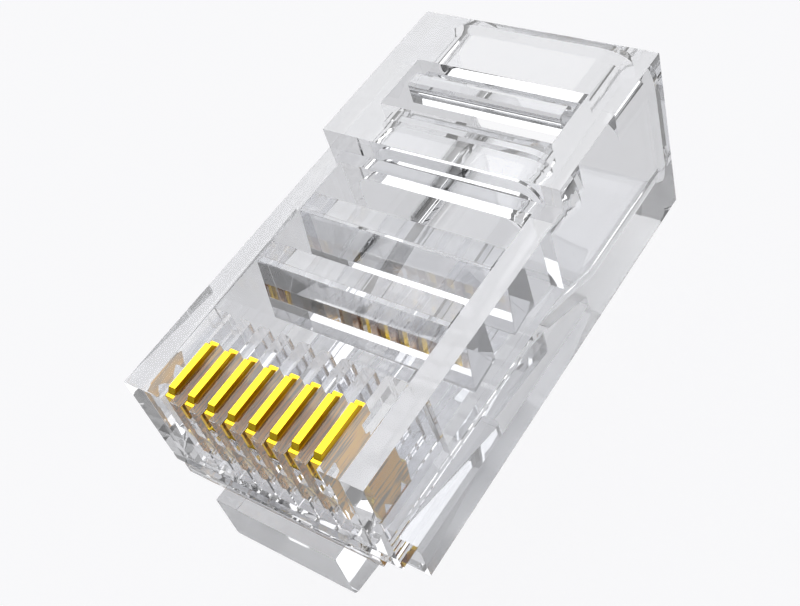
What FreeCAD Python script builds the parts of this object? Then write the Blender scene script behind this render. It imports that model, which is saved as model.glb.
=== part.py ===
import FreeCAD, Part

import math
import os

# An eight-position, eight-contact modular plug in clear plastic, as moulded, before it is crimped on a cable.
# Millimetres. X runs across the plug, Y from the nose's front face to the cable entry, Z towards the contacts.
# The origin is the middle of the nose's front face. Depths are measured down from the nose's contact side.

# Body, outside
body_width = 11.68
body_length = 22.38
nose_height = 5.30
body_height = 7.44
rail_start = 1.00
rear_block_start = 13.89
rear_block_rise = 1.03

# Lip along the foot of the nose's front face
lip_half_width = 5.02
lip_reach = 0.17
lip_top_depth = 4.75
lip_overhang = 0.20
lip_root = 0.10

# Contacts
contact_count = 8
contact_pitch = 1.02
contact_thickness = 0.35
contact_front = 0.20
contact_length = 2.86
contact_stand = 0.20
crown_step = 0.23
crown_inset = 0.30
crown_slope_run = 0.17
head_height = 1.14
neck_setback = 0.60
neck_length = 1.70
neck_height = 1.03
body_setback = 0.31
body_length_of_contact = 2.19
barb_rise = 0.17
tine_height = 1.23
tine_notch = 0.70
tine_tip_width = 0.12

# Slots over the contacts, and the comb of ribs between them
slot_clearance = 0.05
slot_front_depth = 1.80
slot_front_wall = 0.42
rib_end_radius = 0.15

# Wire channels under the contacts
wire_stop = 0.50
wire_roof_depth = 3.35
wire_floor_depth = 4.50
channel_rib = 0.14
channel_rib_height = 0.40

# Window behind the contacts, with the two bars that clamp the conductors
window_half_width = 4.77
window_front = 4.42
window_rear = 13.24
conductor_bar_fronts = (7.15, 10.15)
conductor_bar_length = 1.15
conductor_bar_depth = 3.10
conductor_bar_lean = 0.45
conductor_bar_heel_rise = 0.20
conductor_bar_clearance = 0.05

# Cable cavity and the funnel that leads the wires out of it
cavity_half_width = 4.25
cavity_roof_depth = 0.05
cavity_floor_depth = 6.30
cavity_corner = 1.20
bridge_thickness = 0.65
funnel_front = 11.30
funnel_rear = 15.80
funnel_corner = 0.35
entry_flare = 0.35
entry_flare_length = 0.50

# Window over the cable, with the hinged bar that clamps the jacket
jacket_window_setback = 3.19
jacket_window_length = 3.07
jacket_bar_half_width = 3.80
jacket_bar_length = 0.90
jacket_web_length = 0.69
jacket_bar_height = 1.18
jacket_bar_bevel = 0.12
jacket_bar_heel = 0.40
jacket_web_depth = 0.63
jacket_web_thickness = 0.30
hinge_clearance = 0.02

# Latch
latch_width = 6.20
latch_side_gap = 0.30
latch_front = -0.745
latch_gap = 0.26
latch_root_height = 2.79
latch_nose_radius = 0.30
latch_pivot = 0.40
latch_slope_deg = 13.5
latch_shoulder = 8.20
lever_width = 3.25
lever_end = 14.30
lever_end_thickness = 1.25
lever_corner = 0.60
shoulder_corner = 0.25
lever_tip_room = 0.90


def height(depth):
    """Z of a depth below the nose's contact side."""
    return nose_height / 2 - depth


def rounded_wire(corners, place):
    """A closed wire through corners (a, b, radius), with each corner rounded by a tangent arc."""
    runs = []
    count = len(corners)
    for i, (a, b, radius) in enumerate(corners):
        before = corners[i - 1]
        after = corners[(i + 1) % count]
        into = (a - before[0], b - before[1])
        out = (after[0] - a, after[1] - b)
        into_length = math.hypot(*into)
        out_length = math.hypot(*out)
        into = (into[0] / into_length, into[1] / into_length)
        out = (out[0] / out_length, out[1] / out_length)
        cosine = max(-1.0, min(1.0, into[0] * out[0] + into[1] * out[1]))
        turn = math.acos(cosine)
        if radius <= 0:
            runs.append(((a, b), None, (a, b)))
            continue
        setback = min(radius * math.tan(turn / 2), 0.49 * into_length, 0.49 * out_length)
        reach = setback / math.tan(turn / 2)
        start = (a - into[0] * setback, b - into[1] * setback)
        end = (a + out[0] * setback, b + out[1] * setback)
        chord = ((start[0] + end[0]) / 2, (start[1] + end[1]) / 2)
        bisector = (a - chord[0], b - chord[1])
        bisector_length = math.hypot(*bisector)
        rise = reach * (1 - math.cos(turn / 2))
        middle = (
            chord[0] + bisector[0] / bisector_length * rise,
            chord[1] + bisector[1] / bisector_length * rise,
        )
        runs.append((start, middle, end))
    edges = []
    for i, (start, middle, end) in enumerate(runs):
        if middle is not None:
            edges.append(Part.Arc(place(*start), place(*middle), place(*end)).toShape())
        following = runs[(i + 1) % count][0]
        edges.append(Part.LineSegment(place(*end), place(*following)).toShape())
    return Part.Wire(edges)


def sharp(points):
    """Corners with no rounding."""
    return [(a, b, 0) for a, b in points]


def side_prism(corners, low_x, high_x):
    """A side outline of (y, depth, radius) corners, extruded across the plug."""
    wire = rounded_wire(corners, lambda y, depth: FreeCAD.Vector(low_x, y, height(depth)))
    return Part.Face(wire).extrude(FreeCAD.Vector(high_x - low_x, 0, 0))


def plan_prism(corners, top_depth, bottom_depth):
    """A plan outline of (x, y, radius) corners, extruded downwards."""
    wire = rounded_wire(corners, lambda x, y: FreeCAD.Vector(x, y, height(top_depth)))
    return Part.Face(wire).extrude(FreeCAD.Vector(0, 0, top_depth - bottom_depth))


def block(low_x, high_x, low_y, high_y, top_depth, bottom_depth):
    """A box between two X, two Y and two depths."""
    return Part.makeBox(
        high_x - low_x,
        high_y - low_y,
        bottom_depth - top_depth,
        FreeCAD.Vector(low_x, low_y, height(bottom_depth)),
    )


def jacket_window_rear():
    """Y of the rear edge of the window over the cable, which the clamp bar hinges at."""
    return body_length - jacket_window_setback


def contact_places():
    """X of each contact's middle, from the left."""
    middle = (contact_count - 1) / 2
    return [(i - middle) * contact_pitch for i in range(contact_count)]


def body_blank():
    """The outside of the moulding: the nose, the raised rear block and the full-height flanks."""
    outline = sharp([
        (0, 0),
        (rear_block_start, 0),
        (rear_block_start, -rear_block_rise),
        (body_length, -rear_block_rise),
        (body_length, body_height),
        (rail_start, body_height),
        (rail_start, nose_height),
        (0, nose_height),
    ])
    return side_prism(outline, -body_width / 2, body_width / 2)


def front_lip():
    """The lip that stands proud of the foot of the nose's front face and hooks under it."""
    foot = nose_height + lip_overhang
    outline = sharp([
        (lip_root, nose_height - lip_overhang),
        (lip_root, foot),
        (-lip_reach, foot),
        (-lip_reach, lip_top_depth + lip_reach),
        (0, lip_top_depth),
        (lip_root, lip_top_depth),
    ])
    return side_prism(outline, -lip_half_width, lip_half_width)


def latch_channel():
    """The space between the two rails that the latch is pressed up into."""
    half = latch_width / 2 + latch_side_gap
    floor_wall = nose_height - wire_floor_depth
    end = lever_end + lever_tip_room
    funnel_slope = (cavity_floor_depth - wire_floor_depth) / (funnel_rear - funnel_front)
    end_depth = wire_floor_depth + (end - funnel_front) * funnel_slope + floor_wall
    outline = sharp([
        (rail_start - 1, nose_height),
        (funnel_front, nose_height),
        (end, end_depth),
        (end, body_height + 1),
        (rail_start - 1, body_height + 1),
    ])
    return side_prism(outline, -half, half)


def contact_slot(x):
    """One slot: open to the contact side, to the top of the front face, and to the window behind."""
    half = contact_thickness / 2 + slot_clearance
    mouth = block(x - half, x + half, -1, window_front + 1, -1, slot_front_depth)
    well = block(x - half, x + half, slot_front_wall, window_front + 1, 0, wire_roof_depth + 0.1)
    return mouth.fuse(well)


def wire_channel(x):
    """One wire channel, roofed under the contacts and open in the window."""
    half = (contact_pitch - channel_rib) / 2
    return block(x - half, x + half, wire_stop, window_rear, wire_roof_depth, wire_floor_depth)


def nose_window():
    """The window behind the contacts, down to the tops of the channel ribs."""
    bottom = wire_floor_depth - channel_rib_height
    return block(-window_half_width, window_half_width, window_front, window_rear, -1, bottom)


def cavity_section(half_width, roof, floor, corner, y):
    """A rounded rectangle across the plug at one Y."""
    corners = [
        (-half_width, roof, corner),
        (half_width, roof, corner),
        (half_width, floor, corner),
        (-half_width, floor, corner),
    ]
    return rounded_wire(corners, lambda x, depth: FreeCAD.Vector(x, y, height(depth)))


def cable_cavity():
    """The room for the cable's jacket, its flared mouth, and the funnel to the wire channels."""
    channels_half = contact_count * contact_pitch / 2
    narrow = cavity_section(channels_half, bridge_thickness, wire_floor_depth, funnel_corner, funnel_front)
    wide = cavity_section(cavity_half_width, bridge_thickness, cavity_floor_depth, cavity_corner, funnel_rear)
    funnel = Part.makeLoft([narrow, wide], True, True)
    start = cavity_section(cavity_half_width, cavity_roof_depth, cavity_floor_depth, cavity_corner, funnel_rear)
    room = Part.Face(start).extrude(FreeCAD.Vector(0, body_length + 1 - funnel_rear, 0))
    throat = cavity_section(
        cavity_half_width, cavity_roof_depth, cavity_floor_depth, cavity_corner, body_length - entry_flare_length
    )
    mouth = cavity_section(
        cavity_half_width + entry_flare,
        cavity_roof_depth - entry_flare,
        cavity_floor_depth + entry_flare,
        cavity_corner + entry_flare,
        body_length,
    )
    flare = Part.makeLoft([throat, mouth], True, True)
    return funnel.fuse([room, flare])


def jacket_window():
    """The window in the rear block, over the cable."""
    rear = jacket_window_rear()
    return block(
        -cavity_half_width,
        cavity_half_width,
        rear - jacket_window_length,
        rear,
        -rear_block_rise - 1,
        cavity_roof_depth + cavity_corner,
    )


def rib_end_edges(shape):
    """The upright edges at the window end of the ribs between the slots."""
    half_slot = contact_thickness / 2 + slot_clearance
    walls = [x + side * half_slot for x in contact_places() for side in (-1, 1)]
    found = []
    for edge in shape.Edges:
        ends = [vertex.Point for vertex in edge.Vertexes]
        if len(ends) != 2 or abs(ends[0].z - ends[1].z) < 1:
            continue
        if any(abs(end.y - window_front) > 1e-4 for end in ends):
            continue
        if any(abs(ends[0].x - wall) < 1e-4 for wall in walls) and abs(ends[0].x - ends[1].x) < 1e-4:
            found.append(edge)
    return found


def housing():
    """The clear one-piece body."""
    shape = body_blank().fuse(front_lip())
    cuts = [latch_channel(), nose_window(), cable_cavity(), jacket_window()]
    for x in contact_places():
        cuts.append(contact_slot(x))
        cuts.append(wire_channel(x))
    shape = shape.cut(cuts).removeSplitter()
    rib = contact_pitch - contact_thickness - 2 * slot_clearance
    return shape.makeFillet(min(rib_end_radius, 0.45 * rib), rib_end_edges(shape))


def latch_tab():
    """The latch: a wide root with two catch shoulders, and a narrower lever that slopes away from the body."""
    slope = math.tan(math.radians(latch_slope_deg))
    top = nose_height + latch_gap
    crest = latch_gap - hinge_clearance
    behind_crest = latch_pivot + crest
    tip_top = top + (lever_end - behind_crest) * slope
    root_bottom = top + latch_root_height
    profile = [
        (latch_front, top, 0),
        (behind_crest, top, 0),
        (lever_end, tip_top, 0),
        (lever_end, tip_top + lever_end_thickness, latch_nose_radius),
        (latch_front, root_bottom, latch_nose_radius),
    ]
    side = side_prism(profile, -latch_width, latch_width)
    wide = latch_width / 2
    narrow = lever_width / 2
    outline = [
        (-wide, latch_front - 1, 0),
        (wide, latch_front - 1, 0),
        (wide, latch_shoulder, shoulder_corner),
        (narrow, latch_shoulder, shoulder_corner),
        (narrow, lever_end, lever_corner),
        (-narrow, lever_end, lever_corner),
        (-narrow, latch_shoulder, shoulder_corner),
        (-wide, latch_shoulder, shoulder_corner),
    ]
    plan = plan_prism(outline, 0, 2 * body_height)
    hinge = Part.makeCylinder(
        crest,
        latch_width,
        FreeCAD.Vector(-latch_width / 2, latch_pivot, height(top)),
        FreeCAD.Vector(1, 0, 0),
    )
    return side.common(plan).fuse(hinge).removeSplitter()


def conductor_bar(front):
    """A bar across the nose window, with a forward-leaning face, that is pressed down on the conductors."""
    rear = front + conductor_bar_length
    profile = sharp([
        (front, 0),
        (rear, 0),
        (rear, conductor_bar_depth - conductor_bar_heel_rise),
        (front - conductor_bar_lean, conductor_bar_depth),
    ])
    half = window_half_width - conductor_bar_clearance
    return side_prism(profile, -half, half)


def jacket_bar():
    """The bar that is pressed down on the cable's jacket, with the thin web that it hinges on."""
    rear = jacket_window_rear() - jacket_web_length
    front = rear - jacket_bar_length
    top = -rear_block_rise
    bottom = top + jacket_bar_height
    profile = sharp([
        (front + jacket_bar_bevel, top),
        (rear - jacket_bar_bevel, top),
        (rear, top + jacket_bar_bevel),
        (rear, bottom - jacket_bar_heel),
        (front + jacket_bar_bevel, bottom),
        (front, bottom - jacket_bar_bevel),
        (front, top + jacket_bar_bevel),
    ])
    half = jacket_bar_half_width
    bar = side_prism(profile, -half, half)
    radius = jacket_web_thickness / 2
    pivot = jacket_window_rear() - hinge_clearance - radius
    web_depth = top + jacket_web_depth
    web = block(-half, half, rear - jacket_bar_bevel, pivot, web_depth - radius, web_depth + radius)
    hinge = Part.makeCylinder(
        radius,
        2 * half,
        FreeCAD.Vector(-half, pivot, height(web_depth)),
        FreeCAD.Vector(1, 0, 0),
    )
    return bar.fuse([web, hinge]).removeSplitter()


def contact(x):
    """One blade contact: a crowned head, a neck, and three tines that pierce the wire's insulation."""
    rear = contact_front + contact_length
    step = crown_step - contact_stand
    head_bottom = step + head_height
    neck_front = contact_front + neck_setback
    neck_rear = neck_front + neck_length
    neck_bottom = head_bottom + neck_height
    blade_front = contact_front + body_setback
    blade_rear = blade_front + body_length_of_contact
    blade_top = neck_bottom + barb_rise
    tip = blade_top + tine_height
    notch = tip - tine_notch
    half_tip = tine_tip_width / 2
    quarter = body_length_of_contact / 4
    middle = blade_front + body_length_of_contact / 2
    outer = quarter / 2
    profile = sharp([
        (contact_front, step),
        (contact_front + crown_inset - crown_slope_run, step),
        (contact_front + crown_inset, -contact_stand),
        (rear - crown_inset, -contact_stand),
        (rear - crown_inset + crown_slope_run, step),
        (rear, step),
        (rear, head_bottom),
        (neck_rear, head_bottom),
        (neck_rear, neck_bottom),
        (blade_rear, blade_top),
        (blade_rear - outer + half_tip, tip),
        (blade_rear - outer - half_tip, tip),
        (middle + quarter, notch),
        (middle + 2 * half_tip, tip),
        (middle - 2 * half_tip, tip),
        (middle - quarter, notch),
        (blade_front + outer + half_tip, tip),
        (blade_front + outer - half_tip, tip),
        (blade_front, blade_top),
        (neck_front, neck_bottom),
        (neck_front, head_bottom),
        (contact_front, head_bottom),
    ])
    return side_prism(profile, x - contact_thickness / 2, x + contact_thickness / 2)


def write(name, shape):
    """Writes one piece to its own file."""
    shape.exportStep(os.path.join("parts", name + ".step"))


def main():
    """Builds every piece and writes it."""
    os.makedirs("parts", exist_ok=True)
    write("housing", housing())
    write("latch_tab", latch_tab())
    write("jacket_clamp_bar", jacket_bar())
    for name, front in zip(("front", "rear"), conductor_bar_fronts):
        write("conductor_clamp_bar_" + name, conductor_bar(front))
    for number, x in enumerate(contact_places(), start=1):
        write("contact_" + str(number), contact(x))


main()
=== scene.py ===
"""A clear modular plug with eight gold contacts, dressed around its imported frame.

Each sub-assembly is a class that builds its meshes and dresses them, and each finish is a frozen
dataclass. Sizes are millimetres in the plug's own frame, but for those of the finishes: X across the
plug, Y from the nose to the cable entry, Z towards the contacts. Meshes are built in millimetres and
brought to metres at the end. Angles are in degrees.
"""

from __future__ import annotations

import logging
import math
from collections.abc import Mapping
from dataclasses import dataclass
from enum import Enum
from typing import Union

import bmesh
import bpy
from mathutils import Matrix, Vector

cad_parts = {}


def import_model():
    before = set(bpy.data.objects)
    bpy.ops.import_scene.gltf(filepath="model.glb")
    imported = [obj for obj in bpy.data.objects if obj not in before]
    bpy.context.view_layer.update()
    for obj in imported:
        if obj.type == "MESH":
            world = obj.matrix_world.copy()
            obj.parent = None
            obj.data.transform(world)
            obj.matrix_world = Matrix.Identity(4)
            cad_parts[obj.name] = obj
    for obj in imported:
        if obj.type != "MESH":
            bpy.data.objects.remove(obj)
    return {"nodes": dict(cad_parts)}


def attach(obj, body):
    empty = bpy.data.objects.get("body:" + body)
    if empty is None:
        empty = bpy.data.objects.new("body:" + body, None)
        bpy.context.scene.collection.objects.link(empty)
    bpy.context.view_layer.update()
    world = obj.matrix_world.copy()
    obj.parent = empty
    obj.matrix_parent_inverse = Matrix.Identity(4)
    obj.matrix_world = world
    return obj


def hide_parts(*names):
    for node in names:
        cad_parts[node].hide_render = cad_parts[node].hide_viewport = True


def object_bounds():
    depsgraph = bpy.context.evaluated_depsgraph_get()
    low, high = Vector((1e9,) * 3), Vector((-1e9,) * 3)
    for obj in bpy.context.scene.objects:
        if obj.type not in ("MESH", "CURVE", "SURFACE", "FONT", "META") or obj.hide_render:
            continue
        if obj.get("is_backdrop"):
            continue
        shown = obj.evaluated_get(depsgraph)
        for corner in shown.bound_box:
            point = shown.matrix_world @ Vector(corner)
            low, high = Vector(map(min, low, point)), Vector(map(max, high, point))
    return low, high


LOG = logging.getLogger("modular_plug")
MM = 0.001
NOISE_MEAN = 0.5

Number = Union[float, "Value"]
Span = tuple[float, float]
Point = tuple[float, float, float]
Colour = tuple[float, float, float]


class Slot(Enum):
    """The record's material slots."""

    PLASTIC = "clear_plastic"
    GOLD = "contact_gold"


class Value:
    """A number in a node tree. Expressions on it add Math nodes."""

    def __init__(self, graph: Graph, socket: bpy.types.NodeSocket) -> None:
        """Keeps the socket and the tree that it lies in."""
        self.graph = graph
        self.socket = socket

    def math(self, operation: str, first: Number, second: Number = 0.0) -> Value:
        """Adds one Math node.

        Args:
            operation: The Math node's operation.
            first: Its first number.
            second: Its second number, where the operation has one.

        Returns:
            The node's result.
        """
        node = self.graph.add("ShaderNodeMath", {"operation": operation}, {0: first, 1: second})
        return Value(self.graph, node.outputs[0])

    def __add__(self, other: Number) -> Value:
        """self + other."""
        return self.math("ADD", self, other)

    def __radd__(self, other: Number) -> Value:
        """other + self."""
        return self.math("ADD", other, self)

    def __sub__(self, other: Number) -> Value:
        """self - other."""
        return self.math("SUBTRACT", self, other)

    def __rsub__(self, other: Number) -> Value:
        """other - self."""
        return self.math("SUBTRACT", other, self)

    def __mul__(self, other: Number) -> Value:
        """self * other."""
        return self.math("MULTIPLY", self, other)

    def __rmul__(self, other: Number) -> Value:
        """other * self."""
        return self.math("MULTIPLY", other, self)

    def __truediv__(self, other: Number) -> Value:
        """self / other."""
        return self.math("DIVIDE", self, other)

    def __abs__(self) -> Value:
        """The size of self, without its sign."""
        return self.math("ABSOLUTE", self)

    def at_most(self, other: Number) -> Value:
        """The smaller of self and other."""
        return self.math("MINIMUM", self, other)

    def at_least(self, other: Number) -> Value:
        """The larger of self and other."""
        return self.math("MAXIMUM", self, other)

    def step(self, low: float, high: float) -> Value:
        """Rises smoothly from 0 to 1.

        Args:
            low: Where the rise starts.
            high: Where it ends.

        Returns:
            0 below the rise, 1 above it, and a smooth curve between.
        """
        node = self.graph.add(
            "ShaderNodeMapRange",
            {"interpolation_type": "SMOOTHSTEP"},
            {"Value": self, "From Min": low, "From Max": high, "To Min": 0.0, "To Max": 1.0},
        )
        return Value(self.graph, node.outputs["Result"])


class Graph:
    """A node tree, with one method that adds any node to it."""

    def __init__(self, tree: bpy.types.NodeTree) -> None:
        """Keeps the tree and empties it."""
        self.tree = tree
        tree.nodes.clear()

    def add(
        self,
        kind: str,
        settings: Mapping[str, object] | None = None,
        inputs: Mapping[Union[str, int], object] | None = None,
    ) -> bpy.types.Node:
        """Adds a node, sets it up and then fills its sockets.

        Args:
            kind: The node's type.
            settings: Its properties.
            inputs: A value, a socket or a Value for each input, by name or number.

        Returns:
            The new node.
        """
        node = self.tree.nodes.new(kind)
        for name, setting in (settings or {}).items():
            setattr(node, name, setting)
        for name, given in (inputs or {}).items():
            if isinstance(given, Value):
                given = given.socket
            if isinstance(given, bpy.types.NodeSocket):
                self.tree.links.new(given, node.inputs[name])
            else:
                node.inputs[name].default_value = given
        return node

    def value(self, socket: bpy.types.NodeSocket) -> Value:
        """Wraps a socket, so that expressions can use it."""
        return Value(self, socket)

    def mix_colour(self, factor: Number, first: object, second: object) -> bpy.types.NodeSocket:
        """Mixes two colours.

        Args:
            factor: 0 gives the first colour, and 1 the second.
            first: A colour or a colour socket.
            second: A colour or a colour socket.

        Returns:
            The mixed colour's socket.
        """
        first = (*first, 1.0) if isinstance(first, tuple) else first
        second = (*second, 1.0) if isinstance(second, tuple) else second
        node = self.add("ShaderNodeMix", {"data_type": "RGBA"}, {0: factor, 6: first, 7: second})
        return node.outputs[2]

    def noise(self, where: bpy.types.NodeSocket, scale: float, detail: float, stretch: Point) -> Value:
        """Adds a noise pattern.

        Args:
            where: The coordinates, in metres.
            scale: Bumps for each metre.
            detail: How many finer layers it has.
            stretch: A factor on each axis. A smaller one makes the pattern longer that way.

        Returns:
            The noise, from 0 to 1.
        """
        mapping = self.add("ShaderNodeMapping", {}, {"Vector": where, "Scale": stretch})
        inputs = {"Vector": mapping.outputs[0], "Scale": scale, "Detail": detail}
        return self.value(self.add("ShaderNodeTexNoise", {}, inputs).outputs[0])


def new_material(name: str) -> tuple[bpy.types.Material, Graph]:
    """Makes an empty material.

    Args:
        name: The material's name.

    Returns:
        The material and its node tree.
    """
    material = bpy.data.materials.new(name)
    material.use_nodes = True
    return material, Graph(material.node_tree)


@dataclass(frozen=True)
class ClearPlastic:
    """Moulded clear polycarbonate: polished, but matt on its undersides.

    Depths and heights are in metres. Only faces that lie deeper than matt_depth below the origin and
    look down are matt. facing_down gives where the matt starts and where it is full, as the share of
    the face's normal that points down.
    """

    name: str = "clear_polycarbonate"
    tint: Colour = (0.935, 0.940, 0.955)
    ior: float = 1.58
    matt_roughness: float = 0.9
    matt_depth: float = 0.0025
    matt_fade: float = 0.0001
    facing_down: Span = (0.85, 0.95)
    ripples_per_metre: float = 130.0
    ripple_detail: float = 1.0
    ripple_stretch: Point = (1.0, 0.45, 1.0)
    ripple_height: float = 0.0000006
    lamp_light_passed: float = 0.93

    def material(self) -> bpy.types.Material:
        """Builds the glass-like shader, which lets lamp light pass as real clear plastic does.

        Returns:
            The material.
        """
        material, graph = new_material(self.name)
        place = graph.add("ShaderNodeTexCoord").outputs
        facing = graph.add("ShaderNodeSeparateXYZ", {}, {0: place["Normal"]}).outputs
        parts = graph.add("ShaderNodeSeparateXYZ", {}, {0: place["Object"]}).outputs
        downward = (0.0 - graph.value(facing["Z"])).step(*self.facing_down)
        low = (0.0 - graph.value(parts["Z"])).step(self.matt_depth, self.matt_depth + self.matt_fade)
        flow = graph.noise(
            place["Object"], self.ripples_per_metre, self.ripple_detail, self.ripple_stretch
        )
        bump = graph.add(
            "ShaderNodeBump", {}, {"Height": flow, "Strength": 1.0, "Distance": self.ripple_height}
        )
        plastic = graph.add(
            "ShaderNodeBsdfPrincipled",
            {},
            {
                "Base Color": (*self.tint, 1.0),
                "Roughness": downward * low * self.matt_roughness,
                "IOR": self.ior,
                "Transmission Weight": 1.0,
                "Normal": bump.outputs[0],
            },
        )
        passed = self.lamp_light_passed
        clear = graph.add("ShaderNodeBsdfTransparent", {}, {"Color": (passed, passed, passed, 1.0)})
        path = graph.add("ShaderNodeLightPath")
        both = graph.add(
            "ShaderNodeMixShader",
            {},
            {0: path.outputs["Is Shadow Ray"], 1: plastic.outputs[0], 2: clear.outputs[0]},
        )
        graph.add("ShaderNodeOutputMaterial", {}, {"Surface": both.outputs[0]})
        return material


@dataclass(frozen=True)
class GoldPlate:
    """Bright gold over stamped strip: smoother crowns, rougher flanks and long fine streaks. Crown, ends
    and flanks also get tones of the gold by the way each face faces, lightest on the crown and darkest
    on the flanks: painted highlight and painted shade.

    Heights are in metres. Flanks inside their slots, just below the nose's top, are painted a dull grey
    in patches: painted shade. facing_up and facing_aside give where a face starts to count as crown or
    flank and where it fully does, and shade_patch_span does the same for the noise pattern that breaks
    that painted shade into patches.
    """

    name: str = "plated_contact"
    # crown, end and flank are one gold in lighter and darker tones by facing: painted highlight on the
    # crown, painted shade on the flanks.
    crown: Colour = (1.0, 0.70, 0.032)
    end: Colour = (1.0, 0.66, 0.03)
    flank: Colour = (1.0, 0.62, 0.22)
    # Dull grey painted shade for the flanks inside the slots.
    slot_shade_flank: Colour = (0.46, 0.38, 0.30)
    facing_up: Span = (0.35, 0.85)
    facing_aside: Span = (0.4, 0.9)
    # The height below which the flanks get the painted slot shade.
    slot_shade_top: float = 0.00262
    slot_shade_fade: float = 0.00004
    shade_patch_span: Span = (0.44, 0.58)
    streaks_per_metre: float = 7000.0
    streak_detail: float = 3.0
    streak_stretch: Point = (1.0, 0.07, 1.0)
    streak_share: float = 0.7
    clouds_per_metre: float = 1100.0
    cloud_detail: float = 2.0
    cloud_stretch: Point = (1.0, 0.7, 1.0)
    crown_roughness: float = 0.14
    side_roughness: float = 0.32
    streak_roughness: float = 0.12
    grain_height: float = 0.0000012

    def material(self) -> bpy.types.Material:
        """Builds the metal, which turns from crown to flank with the way that the surface faces.

        Returns:
            The material.
        """
        material, graph = new_material(self.name)
        place = graph.add("ShaderNodeTexCoord").outputs
        facing = graph.add("ShaderNodeSeparateXYZ", {}, {0: place["Normal"]}).outputs
        parts = graph.add("ShaderNodeSeparateXYZ", {}, {0: place["Object"]}).outputs
        # upward also sets the roughness, which is real; in the colour it paints the crown's highlight.
        upward = graph.value(facing["Z"]).step(*self.facing_up)
        # inside marks the flanks below the nose's top, where the painted slot shade goes.
        inside = 1.0 - graph.value(parts["Z"]).step(self.slot_shade_top, self.slot_shade_top + self.slot_shade_fade)
        sideways = abs(graph.value(facing["X"])).step(*self.facing_aside) * inside
        streaks = graph.noise(
            place["Object"], self.streaks_per_metre, self.streak_detail, self.streak_stretch
        )
        clouds = graph.noise(
            place["Object"], self.clouds_per_metre, self.cloud_detail, self.cloud_stretch
        )
        pattern = streaks * self.streak_share + clouds * (1.0 - self.streak_share)
        # Patches of painted shade on the flanks inside the slots.
        shade_patches = pattern.step(*self.shade_patch_span)
        flanks = graph.mix_colour(shade_patches, self.flank, self.slot_shade_flank)
        # Painted light and shade: the ends and flanks are mixed darker than the crown.
        sides = graph.mix_colour(sideways, self.end, flanks)
        colour = graph.mix_colour(upward, sides, self.crown)
        bump = graph.add(
            "ShaderNodeBump", {}, {"Height": streaks, "Strength": 1.0, "Distance": self.grain_height}
        )
        roughness = self.side_roughness + upward * (self.crown_roughness - self.side_roughness)
        metal = graph.add(
            "ShaderNodeBsdfPrincipled",
            {},
            {
                "Base Color": colour,
                "Metallic": 1.0,
                "Roughness": roughness + (streaks - NOISE_MEAN) * self.streak_roughness,
                "Normal": bump.outputs[0],
            },
        )
        graph.add("ShaderNodeOutputMaterial", {}, {"Surface": metal.outputs[0]})
        return material


def plain_mesh(obj: bpy.types.Object, name: str) -> bpy.types.Mesh:
    """Evaluates an object with its modifiers and frees it from them.

    Args:
        obj: The object, whose mesh is in millimetres.
        name: The new mesh's name.

    Returns:
        A plain mesh, in metres.
    """
    bpy.context.view_layer.update()
    evaluated = obj.evaluated_get(bpy.context.evaluated_depsgraph_get())
    mesh = bpy.data.meshes.new_from_object(evaluated)
    mesh.name = name
    mesh.transform(Matrix.Scale(MM, 4))
    obj.modifiers.clear()
    return mesh


def add_object(name: str, mesh: bpy.types.Mesh) -> bpy.types.Object:
    """Puts a mesh in the scene, at the origin.

    Args:
        name: The new object's name.
        mesh: What it shows.

    Returns:
        The new object.
    """
    obj = bpy.data.objects.new(name, mesh)
    bpy.context.scene.collection.objects.link(obj)
    return obj


def seat(piece: bpy.types.Object, node: str, body: str) -> None:
    """Makes a piece stand for a CAD node and move with its body.

    Args:
        piece: The finished piece.
        node: The CAD node that it stands for.
        body: The body that it rides on.
    """
    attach(piece, body)
    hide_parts(node)
    LOG.info("%s stands for %s on %s: %d faces", piece.name, node, body, len(piece.data.polygons))


@dataclass(frozen=True)
class Rounding:
    """How moulded or stamped edges are rounded, where they turn by least_angle degrees or more."""

    radius: float
    segments: int = 2
    least_angle: float = 24.0

    def apply(self, obj: bpy.types.Object) -> None:
        """Adds the bevel, and normals that keep the flat faces flat.

        Args:
            obj: The object, whose mesh is in millimetres.
        """
        bevel = obj.modifiers.new("edges", "BEVEL")
        bevel.width = self.radius
        bevel.segments = self.segments
        bevel.limit_method = "ANGLE"
        bevel.angle_limit = math.radians(self.least_angle)
        bevel.miter_outer = "MITER_ARC"
        bevel.use_clamp_overlap = True
        flat = obj.modifiers.new("flat_faces", "WEIGHTED_NORMAL")
        flat.mode = "FACE_AREA"
        flat.weight = 100
        flat.keep_sharp = True


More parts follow.
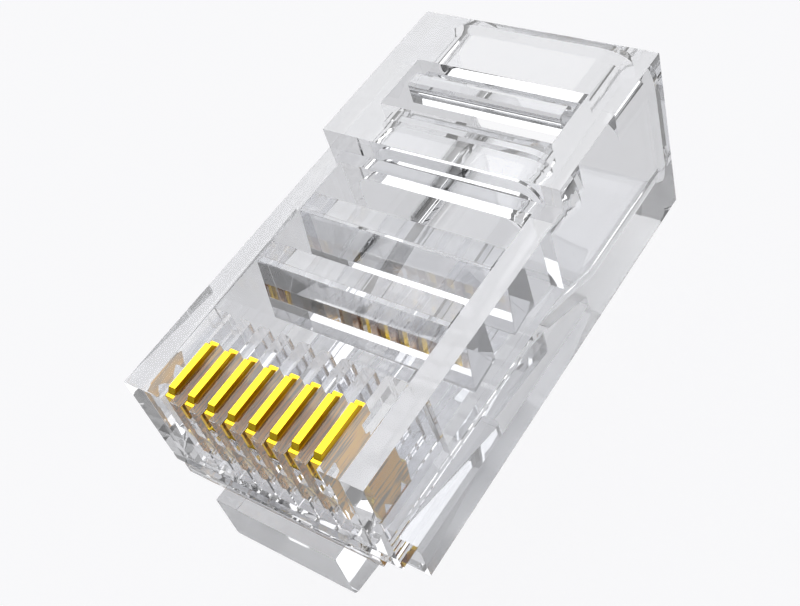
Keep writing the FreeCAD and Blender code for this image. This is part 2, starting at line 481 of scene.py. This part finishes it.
@dataclass
class Moulding:
    """A clear moulded piece that has the CAD solid's form, with its edges rounded."""

    node: str
    body: str
    rounding: Rounding
    merge_distance: float = 0.002
    flat_angle: float = 0.35
    curve_angle: float = 15.0

    def _solid(self, source: bpy.types.Mesh) -> bpy.types.Mesh:
        """Copies the solid in millimetres, merged, with its flat faces whole again.

        An edge too shallow to be rounded, but too steep to lie on a curve, is marked sharp.

        Args:
            source: The CAD node's triangles, in metres.

        Returns:
            The copy.
        """
        shape = bmesh.new()
        for vertex in source.vertices:
            shape.verts.new(vertex.co / MM)
        shape.verts.ensure_lookup_table()
        for triangle in source.polygons:
            shape.faces.new([shape.verts[i] for i in triangle.vertices])
        bmesh.ops.remove_doubles(shape, verts=shape.verts, dist=self.merge_distance)
        bmesh.ops.dissolve_limit(
            shape,
            angle_limit=math.radians(self.flat_angle),
            verts=shape.verts,
            edges=shape.edges,
        )
        for face in shape.faces:
            face.smooth = True
        for edge in shape.edges:
            turn = math.degrees(edge.calc_face_angle(0.0))
            edge.smooth = not self.curve_angle < turn < self.rounding.least_angle
        mesh = bpy.data.meshes.new(self.node + "_form")
        shape.to_mesh(mesh)
        shape.free()
        return mesh

    def build(
        self, nodes: Mapping[str, bpy.types.Object], finish: bpy.types.Material
    ) -> bpy.types.Object:
        """Makes the piece and seats it.

        Args:
            nodes: The frame's CAD nodes by name.
            finish: The material.

        Returns:
            The finished piece.
        """
        draft = add_object(self.node + "_draft", self._solid(nodes[self.node].data))
        self.rounding.apply(draft)
        piece = add_object(self.node + "_moulded", plain_mesh(draft, self.node + "_moulded"))
        bpy.data.objects.remove(draft)
        piece.data.materials.clear()
        piece.data.materials.append(finish)
        self._inside(piece.data)
        seat(piece, self.node, self.body)
        return piece

    def _inside(self, mesh: bpy.types.Mesh) -> None:
        """Adds what the moulding has inside, which is nothing on a plain one."""


@dataclass
class HousingMoulding(Moulding):
    """The housing, with the hairline gap that stands between the comb and each side wall."""

    gap_place: float = 4.77
    gap_thickness: float = 0.03
    gap_front: float = 0.03
    gap_rear: float = 4.38
    gap_top: float = 2.62
    gap_foot: float = -1.80

    def _inside(self, mesh: bpy.types.Mesh) -> None:
        """Adds both gaps as closed boxes that face inwards, because they are air in the plastic.

        Args:
            mesh: The housing's finished mesh, in metres.
        """
        shape = bmesh.new()
        shape.from_mesh(mesh)
        size = Vector((self.gap_thickness, self.gap_rear - self.gap_front, self.gap_top - self.gap_foot))
        middle_y = (self.gap_front + self.gap_rear) / 2
        middle_z = (self.gap_top + self.gap_foot) / 2
        for side in (-1, 1):
            middle = Vector((side * self.gap_place, middle_y, middle_z))
            place = Matrix.Translation(middle * MM) @ Matrix.Diagonal((*(size * MM), 1.0))
            made = bmesh.ops.create_cube(shape, size=1.0, matrix=place)["verts"]
            walls = {face for corner in made for face in corner.link_faces}
            bmesh.ops.reverse_faces(shape, faces=list(walls))
        shape.to_mesh(mesh)
        shape.free()


@dataclass
class ContactRow:
    """The eight blade contacts. One tree extrudes and places the blade, once for each body."""

    count: int = 8
    pitch: float = 1.02
    thickness: float = 0.35
    front: float = 0.20
    length: float = 2.86
    stand: float = 0.20
    crown_step: float = 0.23
    crown_inset: float = 0.30
    crown_slope: float = 0.17
    head_height: float = 1.14
    neck_setback: float = 0.60
    neck_length: float = 1.70
    neck_height: float = 1.03
    blade_setback: float = 0.31
    blade_length: float = 2.19
    barb_rise: float = 0.17
    tine_height: float = 1.23
    tine_notch: float = 0.70
    tine_tip: float = 0.12
    nose_top: float = 2.65
    side_fit: float = 0.056
    merge_distance: float = 0.001
    edge: Rounding = Rounding(radius=0.02)

    def _crown(self) -> list[tuple[float, float]]:
        """Works out the crown's outline from the side.

        Returns:
            Its corners as (Y, height over the nose's top).
        """
        rear = self.front + self.length
        foot = self.stand - 2 * self.crown_step
        shelf = self.stand - self.crown_step
        slope_front = self.front + self.crown_inset - self.crown_slope
        slope_rear = rear - self.crown_inset + self.crown_slope
        return [
            (slope_front, foot),
            (slope_front, shelf),
            (self.front + self.crown_inset, self.stand),
            (rear - self.crown_inset, self.stand),
            (slope_rear, shelf),
            (slope_rear, foot),
        ]

    def _body(self) -> list[tuple[float, float]]:
        """Works out the outline of the head, the neck and the three tines from the side.

        The outer tines have tips as wide as tine_tip, and the middle one's is twice as wide.

        Returns:
            Its corners as (Y, height over the nose's top).
        """
        rear = self.front + self.length
        shelf = self.stand - self.crown_step
        head = shelf - self.head_height
        neck_front = self.front + self.neck_setback
        neck_rear = neck_front + self.neck_length
        neck = head - self.neck_height
        blade_front = self.front + self.blade_setback
        blade_rear = blade_front + self.blade_length
        shoulder = neck - self.barb_rise
        tip = shoulder - self.tine_height
        notch = tip + self.tine_notch
        half = self.tine_tip / 2
        quarter = self.blade_length / 4
        outer = quarter / 2
        middle = blade_front + self.blade_length / 2
        return [
            (self.front, shelf),
            (rear, shelf),
            (rear, head),
            (neck_rear, head),
            (neck_rear, neck),
            (blade_rear, shoulder),
            (blade_rear - outer + half, tip),
            (blade_rear - outer - half, tip),
            (middle + quarter, notch),
            (middle + 2 * half, tip),
            (middle - 2 * half, tip),
            (middle - quarter, notch),
            (blade_front + outer + half, tip),
            (blade_front + outer - half, tip),
            (blade_front, shoulder),
            (neck_front, neck),
            (neck_front, head),
            (self.front, head),
        ]

    def _outlines(self) -> bpy.types.Mesh:
        """Draws the crown and the body as two flat faces that face -X.

        Below the nose's top the blade fills its slot, so that the clear plastic shows its flanks. Each
        point's growth attribute says how much thicker than the strip the blade is there, on each side.

        Returns:
            The mesh, in millimetres.
        """
        places = []
        faces = []
        growth = []
        for outline, wider in ((self._crown(), 0.0), (self._body(), self.side_fit)):
            faces.append([len(places) + i for i in range(len(outline))])
            places += [(0.0, y, self.nose_top + z) for y, z in outline]
            growth += [wider] * len(outline)
        mesh = bpy.data.meshes.new("blade_outlines")
        mesh.from_pydata(places, [], faces)
        mesh.update()
        if mesh.polygons[0].normal.x > 0:
            mesh.flip_normals()
        mesh.attributes.new("growth", "FLOAT", "POINT").data.foreach_set("value", growth)
        return mesh

    def _tree(self) -> bpy.types.NodeTree:
        """Builds the tree that turns the outlines into one blade at its place in the row.

        Returns:
            The tree, with an input for each size, the blade's number and its finish.
        """
        tree = bpy.data.node_groups.new("contact_blade", "GeometryNodeTree")
        graph = Graph(tree)
        interface = tree.interface
        interface.new_socket("Outlines", in_out="INPUT", socket_type="NodeSocketGeometry")
        for name in ("Pitch", "Thickness", "Number", "Count"):
            interface.new_socket(name, in_out="INPUT", socket_type="NodeSocketFloat")
        interface.new_socket("Finish", in_out="INPUT", socket_type="NodeSocketMaterial")
        interface.new_socket("Blade", in_out="OUTPUT", socket_type="NodeSocketGeometry")
        given = graph.add("NodeGroupInput").outputs
        growth = graph.add("GeometryNodeInputNamedAttribute", {"data_type": "FLOAT"}, {"Name": "growth"})
        half = graph.value(given["Thickness"]) / 2.0 + graph.value(growth.outputs["Attribute"])
        middle = (graph.value(given["Count"]) + 1.0) / 2.0
        place = (graph.value(given["Number"]) - middle) * graph.value(given["Pitch"])
        start = graph.add("ShaderNodeCombineXYZ", {}, {"X": place - half})
        near = graph.add(
            "GeometryNodeSetPosition", {}, {"Geometry": given["Outlines"], "Offset": start.outputs[0]}
        )
        across = graph.add("ShaderNodeCombineXYZ", {}, {"X": 1.0})
        body = graph.add(
            "GeometryNodeExtrudeMesh",
            {"mode": "FACES"},
            {"Mesh": near.outputs[0], "Offset": across.outputs[0], "Offset Scale": half * 2.0},
        )
        rest = graph.add("GeometryNodeFlipFaces", {}, {"Mesh": body.outputs["Mesh"]})
        both = graph.add("GeometryNodeJoinGeometry")
        tree.links.new(near.outputs[0], both.inputs[0])
        tree.links.new(rest.outputs[0], both.inputs[0])
        closed = graph.add(
            "GeometryNodeMergeByDistance",
            {},
            {"Geometry": both.outputs[0], "Distance": self.merge_distance},
        )
        smooth = graph.add("GeometryNodeSetShadeSmooth", {}, {"Geometry": closed.outputs[0]})
        real = graph.add("GeometryNodeRealizeInstances", {}, {"Geometry": smooth.outputs[0]})
        dressed = graph.add(
            "GeometryNodeSetMaterial", {}, {"Geometry": real.outputs[0], "Material": given["Finish"]}
        )
        graph.add("NodeGroupOutput", {}, {0: dressed.outputs[0]})
        return tree

    def build(self, finish: bpy.types.Material) -> list[bpy.types.Object]:
        """Makes each blade and seats it.

        Args:
            finish: The gold.

        Returns:
            The blades, from the first contact on.
        """
        tree = self._tree()
        blades = []
        for number in range(1, self.count + 1):
            node = f"contact_{number}"
            draft = add_object(node + "_draft", self._outlines())
            modifier = draft.modifiers.new("blade", "NODES")
            modifier.node_group = tree
            given = {
                "Pitch": self.pitch,
                "Thickness": self.thickness,
                "Number": float(number),
                "Count": float(self.count),
                "Finish": finish,
            }
            for item in tree.interface.items_tree:
                if item.in_out == "INPUT" and item.name in given:
                    modifier[item.identifier] = given[item.name]
            self.edge.apply(draft)
            piece = add_object(node + "_blade", plain_mesh(draft, node + "_blade"))
            bpy.data.objects.remove(draft)
            seat(piece, node, node)
            blades.append(piece)
        return blades


def direction(azimuth: float, elevation: float) -> Vector:
    """The way from the plug to a place round it.

    Args:
        azimuth: Degrees, 0 in front of the nose and 90 on the +X side.
        elevation: Degrees above the horizon.

    Returns:
        A vector of length 1.
    """
    a = math.radians(azimuth)
    e = math.radians(elevation)
    return Vector((math.sin(a) * math.cos(e), -math.cos(a) * math.cos(e), math.sin(e)))


@dataclass(frozen=True)
class Softbox:
    """A large round diffuser, far from the plug, that glows evenly and fades at its rim.

    Its angles are in degrees. It fades between the angles inner and outer from its middle.
    """

    azimuth: float
    elevation: float
    inner: float
    outer: float
    level: float

    def glow(self, graph: Graph, way: bpy.types.NodeSocket) -> Value:
        """Works out the diffuser's light.

        Args:
            graph: The world's node tree.
            way: The direction that is looked in.

        Returns:
            The light that comes from that direction.
        """
        middle = tuple(direction(self.azimuth, self.elevation))
        product = graph.add("ShaderNodeVectorMath", {"operation": "DOT_PRODUCT"}, {0: way, 1: middle})
        rim = math.cos(math.radians(self.outer))
        plateau = math.cos(math.radians(self.inner))
        return graph.value(product.outputs["Value"]).step(rim, plateau) * self.level


@dataclass
class Studio:
    """The pale floor, the room's soft light and its softboxes.

    Lengths are in millimetres. glow_seen and glow_in_reflections say how much of the floor is glow
    for the camera and for reflected or refracted rays. rise_span gives the heights of a direction
    between which the room turns from the horizon's level to the zenith's.
    """

    floor_radius: float = 900.0
    floor_sides: int = 96
    floor_gap: float = 0.05
    floor_colour: Colour = (0.90, 0.90, 0.915)
    floor_glow: Colour = (0.985, 0.985, 1.0)
    glow_seen: float = 0.9
    glow_in_reflections: float = 0.25
    background: Colour = (0.939, 0.939, 0.956)
    rise_span: Span = (0.1, 0.95)
    horizon: float = 0.25
    zenith: float = 0.40
    clear_horizon: float = 0.06
    clear_zenith: float = 0.28
    clear_softboxes: float = 0.60
    softboxes: tuple[Softbox, ...] = (
        Softbox(azimuth=-132.0, elevation=40.0, inner=22.0, outer=28.0, level=2.5),
    )

    def _floor(self, lowest: float) -> None:
        """Lays the floor just under the latch.

        Args:
            lowest: The plug's lowest Z, in metres.
        """
        shape = bmesh.new()
        bmesh.ops.create_circle(
            shape, cap_ends=True, radius=self.floor_radius * MM, segments=self.floor_sides
        )
        for corner in shape.verts:
            corner.co.z = lowest - self.floor_gap * MM
        mesh = bpy.data.meshes.new("floor")
        shape.to_mesh(mesh)
        shape.free()
        material, graph = new_material("pale_floor")
        matt = graph.add("ShaderNodeBsdfDiffuse", {}, {"Color": (*self.floor_colour, 1.0)})
        glow = graph.add(
            "ShaderNodeEmission", {}, {"Color": (*self.floor_glow, 1.0), "Strength": 1.0}
        )
        path = graph.add("ShaderNodeLightPath").outputs
        reflected = graph.value(path["Is Glossy Ray"]) + graph.value(path["Is Transmission Ray"])
        share = reflected.at_most(1.0) * self.glow_in_reflections
        share = share.at_least(graph.value(path["Is Camera Ray"]) * self.glow_seen)
        both = graph.add("ShaderNodeMixShader", {}, {0: share, 1: matt.outputs[0], 2: glow.outputs[0]})
        graph.add("ShaderNodeOutputMaterial", {}, {"Surface": both.outputs[0]})
        mesh.materials.append(material)
        floor = add_object("floor", mesh)
        floor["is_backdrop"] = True

    def _room(self) -> None:
        """Sets the world: a grey room, lighter overhead, with the softboxes in it.

        Rays that come out of the clear plastic see the same room with its softboxes turned down, so
        that the many walls inside the plug stay readable.
        """
        world = bpy.data.worlds.new("room")
        world.use_nodes = True
        graph = Graph(world.node_tree)
        way = graph.add("ShaderNodeTexCoord").outputs["Generated"]
        parts = graph.add("ShaderNodeSeparateXYZ", {}, {0: way}).outputs
        rise = graph.value(parts["Z"]).step(*self.rise_span)
        lamps = self.softboxes[0].glow(graph, way)
        for softbox in self.softboxes[1:]:
            lamps = lamps + softbox.glow(graph, way)
        plain = self.horizon + rise * (self.zenith - self.horizon) + lamps
        clear = self.clear_horizon + rise * (self.clear_zenith - self.clear_horizon)
        clear = clear + lamps * self.clear_softboxes
        path = graph.add("ShaderNodeLightPath").outputs
        level = plain + graph.value(path["Is Transmission Ray"]) * (clear - plain)
        colour = graph.mix_colour(path["Is Camera Ray"], (1.0, 1.0, 1.0), self.background)
        camera = graph.value(path["Is Camera Ray"])
        strength = camera + (1.0 - camera) * level
        light = graph.add("ShaderNodeBackground", {}, {"Color": colour, "Strength": strength})
        graph.add("ShaderNodeOutputWorld", {}, {"Surface": light.outputs[0]})
        bpy.context.scene.world = world

    def build(self, lowest: float) -> None:
        """Makes the floor and the room.

        Args:
            lowest: The plug's lowest Z, in metres.
        """
        self._floor(lowest)
        self._room()


@dataclass
class Camera:
    """The photograph's view, fitted to the corners of the plug. Its lengths are in millimetres."""

    target: Point = (0.3795, 9.1160, 0.0)
    azimuth: float = 49.495
    elevation: float = 45.914
    roll: float = -21.09
    distance: float = 48.165
    lens: float = 53.27
    sensor: float = 36.0
    nearest: float = 1.0
    farthest: float = 5000.0

    def build(self) -> None:
        """Makes the camera and sets it as the scene's."""
        back = direction(self.azimuth, self.elevation)
        a = math.radians(self.azimuth)
        level = Vector((math.cos(a), math.sin(a), 0.0))
        upright = back.cross(level)
        turn = math.radians(self.roll)
        right = level * math.cos(turn) + upright * math.sin(turn)
        up = back.cross(right)
        data = bpy.data.cameras.new("camera")
        data.lens = self.lens
        data.sensor_width = self.sensor
        data.clip_start = self.nearest * MM
        data.clip_end = self.farthest * MM
        camera = bpy.data.objects.new("camera", data)
        place = (Vector(self.target) + back * self.distance) * MM
        turned = Matrix((right, up, back)).transposed().to_4x4()
        camera.matrix_world = Matrix.Translation(place) @ turned
        bpy.context.scene.collection.objects.link(camera)
        bpy.context.scene.camera = camera


def set_light_paths(scene: bpy.types.Scene) -> None:
    """Lets light cross the many walls of the clear plastic.

    Args:
        scene: The scene, whose colours are also set to be shown as they are.
    """
    cycles = scene.cycles
    cycles.max_bounces = 24
    cycles.transmission_bounces = 24
    cycles.glossy_bounces = 12
    cycles.diffuse_bounces = 3
    cycles.transparent_max_bounces = 24
    cycles.sample_clamp_indirect = 6.0
    scene.view_settings.view_transform = "Standard"


def main() -> None:
    """Loads the frame, builds every piece and sets the scene."""
    logging.basicConfig(level=logging.INFO, format="%(name)s: %(message)s")
    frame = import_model()
    solid_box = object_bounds()
    plastic = ClearPlastic().material()
    gold = GoldPlate().material()
    moulded = Rounding(radius=0.014)
    mouldings = (
        HousingMoulding("housing", "housing", moulded),
        Moulding("latch_tab", "latch", moulded),
        Moulding("jacket_clamp_bar", "jacket_clamp", moulded),
        Moulding("conductor_clamp_bar_front", "conductor_clamp_front", moulded),
        Moulding("conductor_clamp_bar_rear", "conductor_clamp_rear", moulded),
    )
    for moulding in mouldings:
        moulding.build(frame["nodes"], plastic)
    ContactRow().build(gold)
    Studio().build(solid_box[0].z)
    Camera().build()
    set_light_paths(bpy.context.scene)


if __name__ == "__main__":
    main()
